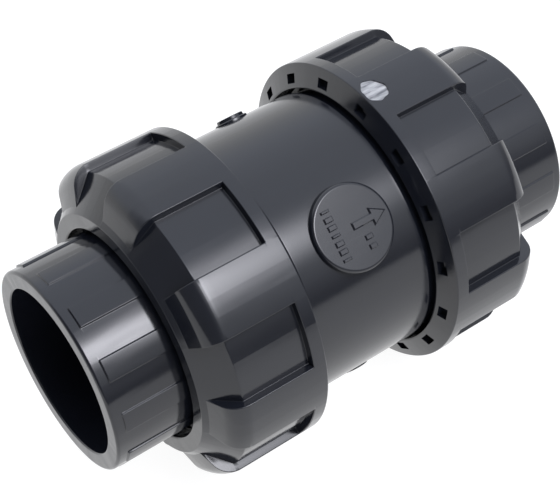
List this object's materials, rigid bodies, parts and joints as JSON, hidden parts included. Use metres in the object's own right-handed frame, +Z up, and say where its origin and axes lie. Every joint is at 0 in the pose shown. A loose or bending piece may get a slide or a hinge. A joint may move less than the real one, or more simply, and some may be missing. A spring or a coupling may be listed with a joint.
{
  "type": "check valve",
  "caption": "Double-union check valve in grey plastic with lobed union nuts, solvent sockets at each end and a spring-loaded cone inside that opens one way.",
  "frame": {"origin": "middle of the body on the bore axis, which is the centre of the bounding box", "axes": "+X along the bore in the flow direction, from the inlet to the outlet; +Z up with the valve lying on its side"},
  "size_m": [0.157, 0.096, 0.096],
  "materials": {
    "valve_body": "moulded slate grey PVC-U, semi-gloss",
    "seat_carrier": "turned and moulded slate grey PVC-U",
    "seat_carrier_o_ring": "black EPDM",
    "inlet_face_o_ring": "black EPDM",
    "guide_carrier": "moulded slate grey PVC-U",
    "guide_carrier_o_ring": "black EPDM",
    "outlet_face_o_ring": "black EPDM",
    "guide_bush": "white PTFE",
    "spring_seat_washer": "stainless steel, pressed",
    "return_spring": "stainless spring wire",
    "poppet_cone": "turned slate grey PVC-U",
    "poppet_seal": "black EPDM",
    "seal_clamp_disc": "turned slate grey PVC-U",
    "poppet_stem": "stainless steel bar",
    "clamp_washer": "stainless steel, pressed",
    "clamp_nut": "stainless steel",
    "inlet_socket_end": "moulded slate grey PVC-U, gloss",
    "inlet_union_nut": "moulded slate grey PVC-U, gloss",
    "outlet_socket_end": "moulded slate grey PVC-U, gloss",
    "outlet_union_nut": "moulded slate grey PVC-U, gloss"
  },
  "bodies": {
    "valve": {"valve_body": "valve_body", "seat_carrier": "seat_carrier", "seat_carrier_o_ring": "seat_carrier_o_ring", "inlet_face_o_ring": "inlet_face_o_ring", "guide_carrier": "guide_carrier", "guide_carrier_o_ring": "guide_carrier_o_ring", "outlet_face_o_ring": "outlet_face_o_ring", "guide_bush": "guide_bush", "spring_seat_washer": "spring_seat_washer", "return_spring": "return_spring"},
    "poppet": {"poppet_cone": "poppet_cone", "poppet_seal": "poppet_seal", "seal_clamp_disc": "seal_clamp_disc", "poppet_stem": "poppet_stem", "clamp_washer": "clamp_washer", "clamp_nut": "clamp_nut"},
    "inlet_end": {"inlet_socket_end": "inlet_socket_end"},
    "inlet_nut": {"inlet_union_nut": "inlet_union_nut"},
    "outlet_end": {"outlet_socket_end": "outlet_socket_end"},
    "outlet_nut": {"outlet_union_nut": "outlet_union_nut"}
  },
  "joints": [
    {"name": "poppet_lift", "type": "slide", "parent": "valve", "child": "poppet", "axis": [1, 0, 0], "range_m": [0, 0.014], "stiffness_N_per_m": 300, "springref_m": -0.0135, "deforming": ["return_spring"]},
    {"name": "inlet_end_withdraw", "type": "slide", "parent": "valve", "child": "inlet_end", "axis": [-1, 0, 0], "range_m": [0, 0.0196]},
    {"name": "inlet_nut_turn", "type": "hinge", "parent": "inlet_end", "child": "inlet_nut", "pos_m": [-0.038, 0, 0], "axis": [-1, 0, 0], "range_deg": [0, 1170]},
    {"name": "outlet_end_withdraw", "type": "slide", "parent": "valve", "child": "outlet_end", "axis": [1, 0, 0], "range_m": [0, 0.0196]},
    {"name": "outlet_nut_turn", "type": "hinge", "parent": "outlet_end", "child": "outlet_nut", "pos_m": [0.038, 0, 0], "axis": [1, 0, 0], "range_deg": [0, 1170]}
  ],
  "couplings": [
    {"joint": "inlet_end_withdraw", "follows": "inlet_nut_turn", "m_per_rad": 0.00095493},
    {"joint": "outlet_end_withdraw", "follows": "outlet_nut_turn", "m_per_rad": 0.00095493}
  ]
}
